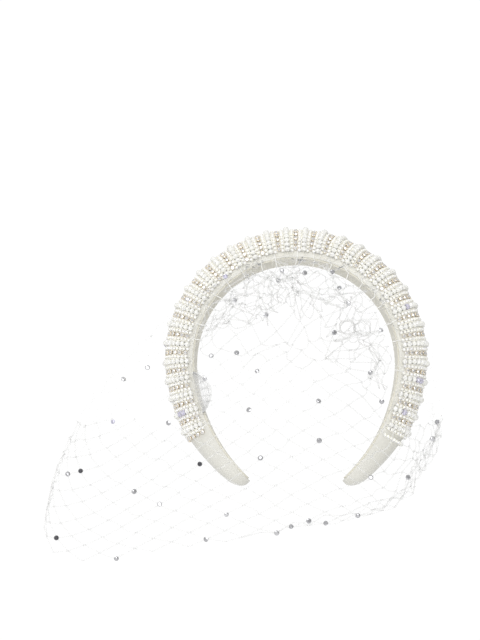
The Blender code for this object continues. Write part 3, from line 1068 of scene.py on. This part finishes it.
def add_loop(heap, corners, knots, radius, rng):
    """Threads of a curled fold that ring the middle of some knots."""
    middle = sum((knots[key] for key in corners), Vector()) / len(corners)
    for _ in range(LOOP_STRANDS):
        size = radius * rng.uniform(0.90, 1.08)
        shift = shake(rng) * 0.0006
        line = []
        for k in range(28):
            turn = 2 * math.pi * k / 28
            ring = Vector((math.cos(turn), 0.25 * math.sin(turn), 0.92 * math.sin(turn)))
            rough = 1 + 0.30 * noise.noise(ring * 1.4 + shift * 900)
            line.append(middle + shift + ring * size * rough)
        heap.add(*tube(line, NET_THREAD / 2, 6, closed=True), look=FOLDED)


def add_bundle(heap, ends, knots, rng):
    """Threads of a fold drawn tight from one knot to another."""
    a, b = (knots[key] for key in ends)
    for _ in range(LOOP_STRANDS):
        shift = [shake(rng) * 0.0007 for _ in range(3)]
        line = []
        for k in range(9):
            t = k / 8
            bow = shift[2] * 1.5 * math.sin(math.pi * t)
            line.append((a + shift[0]).lerp(b + shift[1], t) + bow)
        heap.add(*tube(line, NET_THREAD / 2, 6), look=FOLDED)


def add_gather(heap, sign, rng):
    """Bunched end of the net beside its tack: threads that bow in from the arm."""
    for strand in range(GATHER_STRANDS):
        share = strand / (GATHER_STRANDS - 1)
        line = []
        for k in range(17):
            t = k / 16
            s = sign * (GATHER_LOW + (GATHER_HIGH - GATHER_LOW) * t)
            lift = GATHER_REACH * share * math.sin(math.pi * t) ** 0.8
            wave = 0.0005 * noise.noise(Vector((t * 6, share * 9, sign)))
            line.append(place(s, VEIL_EDGE_Y - 0.0015 - 0.0012 * share, 0.0006 - lift + wave))
        heap.add(*tube(line, NET_THREAD / 2, 6), look=FOLDED)
    for rung in range(9):
        t = 0.12 + 0.76 * rung / 8 + rng.uniform(-0.03, 0.03)
        s = sign * (GATHER_LOW + (GATHER_HIGH - GATHER_LOW) * t)
        lift = GATHER_REACH * math.sin(math.pi * t) ** 0.8
        tilt = sign * rng.uniform(-0.004, 0.004)
        line = [place(s + tilt * k / 8, VEIL_EDGE_Y - 0.0017, 0.0006 - lift * k / 8)
                for k in range(9)]
        heap.add(*tube(line, NET_THREAD / 2, 6), look=FOLDED)


KNOTS = net_knots()
LINKS = net_links(0, ROWS)
KNOTS = relax(KNOTS, LINKS)
TUCK_START = ROWS + 2
KNOTS.update(tuck_knots(TUCK_START))
LINKS += net_links(TUCK_START, TUCK_START + TUCK_ROWS)
net_mesh = net_heap(KNOTS, LINKS)
fold_rng = random.Random(31)
for corners in CURLS:
    add_loop(net_mesh, corners, KNOTS, CURL_RADIUS, fold_rng)
for ends in TIGHT_FOLDS:
    add_bundle(net_mesh, ends, KNOTS, fold_rng)
add_gather(net_mesh, -1, fold_rng)
veil = net_mesh.object("birdcage_net", [NET, NET_KNOT, NET_FOLD, NET_FAINT, NET_SOFT])
attach(veil, "crown", ["veil_net_left", "veil_net_right"])


# Knots (column, row) that carry a stone, and among them the lilac ones and those given a painted dark
# or painted light reflection.
STONE_KNOTS = ((3, 30), (8, 21), (3, 40), (10, 27), (8, 32), (7, 33), (10, 34), (11, 36), (8, 40),
               (10, 42), (13, 38), (12, 41), (12, 32), (12, 14), (13, 17), (12, 21), (13, 23),
               (13, 27), (16, 26), (22, 50), (17, 15), (19, 17), (18, 22), (16, 30), (14, 32),
               (15, 39), (17, 38), (19, 35), (22, 33), (21, 33), (17, 33), (14, 41), (15, 40),
               (16, 40), (18, 25), (14, 10), (14, 9), (16, 8), (17, 6), (18, 10), (11, 21),
               (11, 23), (7, 11), (8, 3))
LILAC_KNOTS = ((3, 40), (8, 3))
PAINTED_DARK_KNOTS = ((8, 40), (8, 32), (12, 32))
PAINTED_LIGHT_KNOTS = ((11, 21), (11, 23), (7, 11), (3, 30), (13, 17))


def net_stones():
    """Faceted flat-back stones fixed to the net's knots."""
    rng = random.Random(23)
    heap = Heap()
    bright, lilac, pale, dark = [], [], [], []
    for key in STONE_KNOTS:
        facing = Vector((rng.uniform(-0.5, 0.5), -1.0, rng.uniform(-0.5, 0.5))).normalized()
        ahead = facing.cross(Vector((0.2, 0.1, 1.0))).normalized()
        across = facing.cross(ahead)
        size = STONE_SIZE * rng.uniform(0.92, 1.10)
        frame_here = (axes_of(ahead * size, across * size, facing * size * 0.9),
                      np.array(KNOTS[key] + facing * 0.0002))
        chance = rng.random()
        if key in LILAC_KNOTS:
            lilac.append(frame_here)
        elif key in PAINTED_DARK_KNOTS:
            dark.append(frame_here)
        else:
            (pale if key in PAINTED_LIGHT_KNOTS or chance < 0.3 else bright).append(frame_here)
    # The grey, near-black and light grey stones differ by painted reflection, not by their own
    # colour.
    for look, frames in enumerate((bright, lilac, pale, dark)):
        heap.stamp(STONE_SHAPE, frames, look, False)
    return heap.object("net_stones", [STONE_PAINTED_GREY, LILAC_STONE, STONE_PAINTED_LIGHT, STONE_PAINTED_DARK])


attach(net_stones(), "crown")


# ---------------------------------------------------------------- gathers and stitches

TACK_PLACE = 0.133
TACK_LENGTH = 0.009
TACK_TURNS = 11
TURN_STEPS = 12


def gather_wrap(side, sign):
    """Thread wound round the net's bunched end and sewn to the arm."""
    rng = random.Random(60 + sign)
    heap = Heap()
    line = []
    for k in range(TACK_TURNS * TURN_STEPS + 1):
        t = k / (TACK_TURNS * TURN_STEPS)
        turn = 2 * math.pi * TACK_TURNS * t
        swell = 0.55 + 0.45 * math.sin(math.pi * t)
        s = sign * (TACK_PLACE - TACK_LENGTH / 2 + TACK_LENGTH * t)
        y = VEIL_EDGE_Y - 0.0003 + 0.00072 * swell * math.cos(turn)
        n = VEIL_EDGE_RISE + 0.00085 * swell * math.sin(turn)
        line.append(place(s, y, n) + shake(rng) * 0.00003)
    heap.add(*tube(line, 0.00020, 6))
    piece = heap.object(f"gather_wrap_{side}", [SEWING])
    attach(piece, side, [f"gather_tack_{side}"])


gather_wrap("left", -1)
gather_wrap("right", 1)


STITCH_PITCH = 0.0042
STITCH_RADIUS = 0.00008


def lining_stitches():
    """Small slanted stitches that hold the lining's edges to the cover."""
    rng = random.Random(77)
    for zone, low, high in ZONES:
        heap = Heap()
        count = int((high - low) / STITCH_PITCH)
        for i in range(1, count):
            s = low + (high - low) * i / count
            if abs(s) > BAND_RUN - 0.012:
                continue
            for edge in (-1, 1):
                half = LINING_SHARE * width(s)
                slant = 0.0006 * rng.uniform(0.6, 1.3)
                points = [place(s - slant, edge * (half - 0.0008), 0.0004),
                          place(s - slant * 0.7, edge * (half - 0.0006), -0.00015),
                          place(s, edge * (half + 0.0002), -0.0001),
                          place(s + slant * 0.7, edge * (half + 0.0005), 0.0006),
                          place(s + slant, edge * (half + 0.0005), 0.0012)]
                heap.add(*tube(points, STITCH_RADIUS, 5))
        attach(heap.object(f"lining_stitches_{zone}", [SEWING]), zone)


lining_stitches()


STAY_REACH = 0.120
STAY_PITCH = 0.0115
STAY_THREAD = 0.00050


def veil_stays():
    """White threads over the pad's front edge that hold the net to the band."""
    rng = random.Random(88)
    for zone, low, high in ZONES:
        heap = Heap()
        low, high = max(low, -STAY_REACH), min(high, STAY_REACH)
        count = max(2, int((high - low) / STAY_PITCH))
        for i in range(1, count):
            s = low + (high - low) * i / count + rng.uniform(-0.002, 0.002)
            slant = rng.uniform(-0.0015, 0.0015)
            line = [on_cover(s, degrees, 0.0003) for degrees in (9, 6, 3, 0)]
            line += [place(s + slant * t, -width(s) / 2 - 0.0006 - 0.0008 * t, BASE - 0.0065 * t)
                     for t in (0.2, 0.5, 0.8, 1.0)]
            heap.add(*tube(line, STAY_THREAD / 2, 6))
        attach(heap.object(f"veil_stays_{zone}", [STAYS]), zone)


veil_stays()


# ---------------------------------------------------------------- stage, light and camera

def white_stage():
    look = Look("pale_floor", (0.93, 0.93, 0.93), 0.9)
    look.vary_color(look.noise(3.0, 2.0), (0.92, 0.92, 0.92), (0.94, 0.94, 0.94))
    mesh = bpy.data.meshes.new("floor")
    made = bmesh.new()
    bmesh.ops.create_circle(made, cap_ends=True, segments=96, radius=FLOOR_RADIUS)
    made.to_mesh(mesh)
    made.free()
    mesh.materials.append(look.material)
    floor = linked("floor", mesh)
    floor.location = (0.0, 0.0, FLOOR_Z)


def area_light(name, location, target, size, power, color=(1.0, 1.0, 1.0)):
    data = bpy.data.lights.new(name, "AREA")
    data.shape = "DISK"
    data.size = size
    data.energy = power
    data.color = color
    made = linked(name, data)
    made.location = location
    direction = Vector(target) - Vector(location)
    made.rotation_euler = direction.to_track_quat("-Z", "Y").to_euler()


def studio_world():
    """Even white light that dims towards the lower right, as beside a soft box."""
    world = bpy.data.worlds.new("studio")
    world.use_nodes = True
    tree = world.node_tree
    tree.nodes.clear()
    output = tree.nodes.new("ShaderNodeOutputWorld")
    mix = tree.nodes.new("ShaderNodeMixShader")
    path = tree.nodes.new("ShaderNodeLightPath")
    seen = tree.nodes.new("ShaderNodeBackground")
    seen.inputs["Color"].default_value = (1.0, 1.0, 1.0, 1.0)
    seen.inputs["Strength"].default_value = 1.05
    lit = tree.nodes.new("ShaderNodeBackground")
    lit.inputs["Strength"].default_value = 0.80
    coordinates = tree.nodes.new("ShaderNodeTexCoord")
    facing = tree.nodes.new("ShaderNodeVectorMath")
    facing.operation = "DOT_PRODUCT"
    facing.inputs[1].default_value = (0.72, -0.10, -0.69)
    ramp = tree.nodes.new("ShaderNodeValToRGB")
    ramp.color_ramp.elements[0].position = 0.0
    ramp.color_ramp.elements[0].color = (1.0, 1.0, 1.0, 1.0)
    ramp.color_ramp.elements[1].position = 0.85
    ramp.color_ramp.elements[1].color = (0.36, 0.36, 0.35, 1.0)
    tree.links.new(coordinates.outputs["Generated"], facing.inputs[0])
    tree.links.new(facing.outputs["Value"], ramp.inputs["Fac"])
    tree.links.new(ramp.outputs["Color"], lit.inputs["Color"])
    tree.links.new(path.outputs["Is Camera Ray"], mix.inputs["Fac"])
    tree.links.new(lit.outputs["Background"], mix.inputs[1])
    tree.links.new(seen.outputs["Background"], mix.inputs[2])
    tree.links.new(mix.outputs["Shader"], output.inputs["Surface"])
    bpy.context.scene.world = world


FLOOR_Z = -0.75
FLOOR_RADIUS = 3.0
CAMERA_AZIMUTH = math.radians(2.3)
CAMERA_ELEVATION = math.radians(-6.3)
CAMERA_DISTANCE = 1.0
CAMERA_LENS = 85
CAMERA_SENSOR = 36
CAMERA_AIM = Vector((-0.0367, 0.0, -0.0385))


def camera():
    data = bpy.data.cameras.new("camera")
    data.lens = CAMERA_LENS
    data.sensor_width = CAMERA_SENSOR
    made = linked("camera", data)
    back = Vector((math.sin(CAMERA_AZIMUTH) * math.cos(CAMERA_ELEVATION),
                   -math.cos(CAMERA_AZIMUTH) * math.cos(CAMERA_ELEVATION),
                   math.sin(CAMERA_ELEVATION)))
    made.location = CAMERA_AIM + back * CAMERA_DISTANCE
    made.rotation_euler = (-back).to_track_quat("-Z", "Y").to_euler()
    bpy.context.scene.camera = made


white_stage()
studio_world()
area_light("key", (-0.8, -1.2, 1.1), (0, 0, -0.05), 0.9, 5.0)
area_light("front", (0.05, -1.7, 0.25), (0, 0, -0.05), 0.9, 13.0)
camera()
bpy.context.scene.view_settings.view_transform = "Standard"
bpy.context.scene.view_settings.gamma = 1.18  # brightens the whole picture, as the photo is
